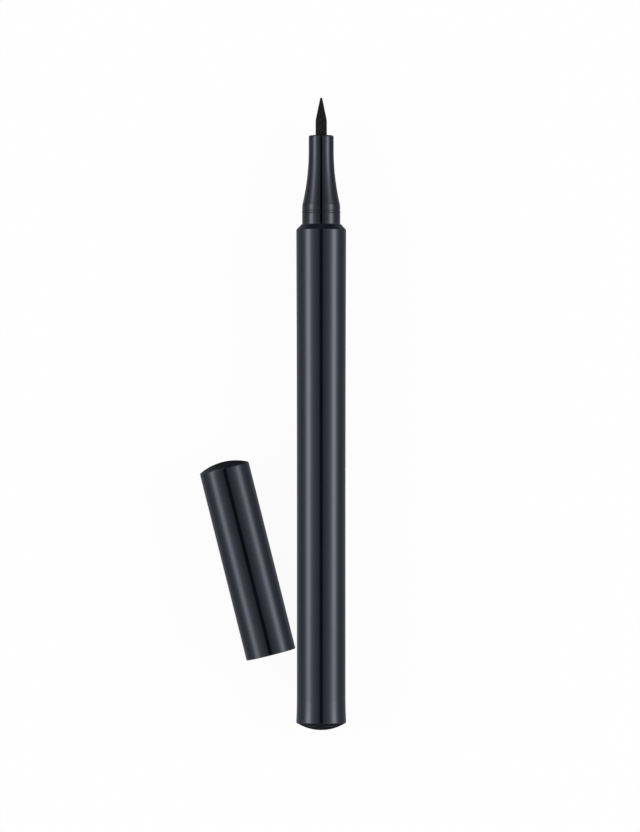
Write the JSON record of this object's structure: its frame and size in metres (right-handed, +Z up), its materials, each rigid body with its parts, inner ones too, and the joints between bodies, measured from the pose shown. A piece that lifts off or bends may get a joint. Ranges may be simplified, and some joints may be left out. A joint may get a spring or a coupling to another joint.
{
  "type": "liquid eyeliner pen",
  "caption": "Slim round felt-tip liquid eyeliner pen with a waisted black barrel, flared neck and pointed nib, its domed cap pulled off and lying beside it.",
  "frame": {"origin": "on the ground, under the centre of the bounding box of the pen and its cap as they lie", "axes": "+Y along the pen towards the nib, +Z up from the surface that both lie on, the cap on the -X side"},
  "size_m": [0.0298, 0.1288, 0.0102],
  "materials": {
    "gloss_black": "moulded plastic, satin gloss, near-black with a faint blue cast",
    "plug_black": "moulded plastic, satin gloss, black",
    "neck_black": "moulded plastic, satin gloss, black",
    "cap_black": "moulded plastic, satin gloss, near-black with a faint blue cast",
    "felt_black": "ground felt soaked in black liquid, matt and grainy",
    "fibre": "drawn fibre rod, matt, stained black",
    "film": "thin clear-to-milky film",
    "natural_white": "uncoloured moulded plastic, satin",
    "liner_grey": "dark grey moulded plastic, satin"
  },
  "bodies": {
    "pen": {"barrel": "gloss_black", "tail_plug": "plug_black", "front_section": "neck_black", "nib_holder": "natural_white", "nib": "felt_black", "reservoir_core": "fibre", "reservoir_film": "film"},
    "cap": {"cap_shell": "cap_black", "cap_liner": "liner_grey"}
  },
  "joints": [
    {"name": "cap_pull", "type": "slide", "parent": "pen", "child": "cap", "axis": [-0.2434, 0.9699, 0], "range_m": [0, 0.0261]}
  ]
}
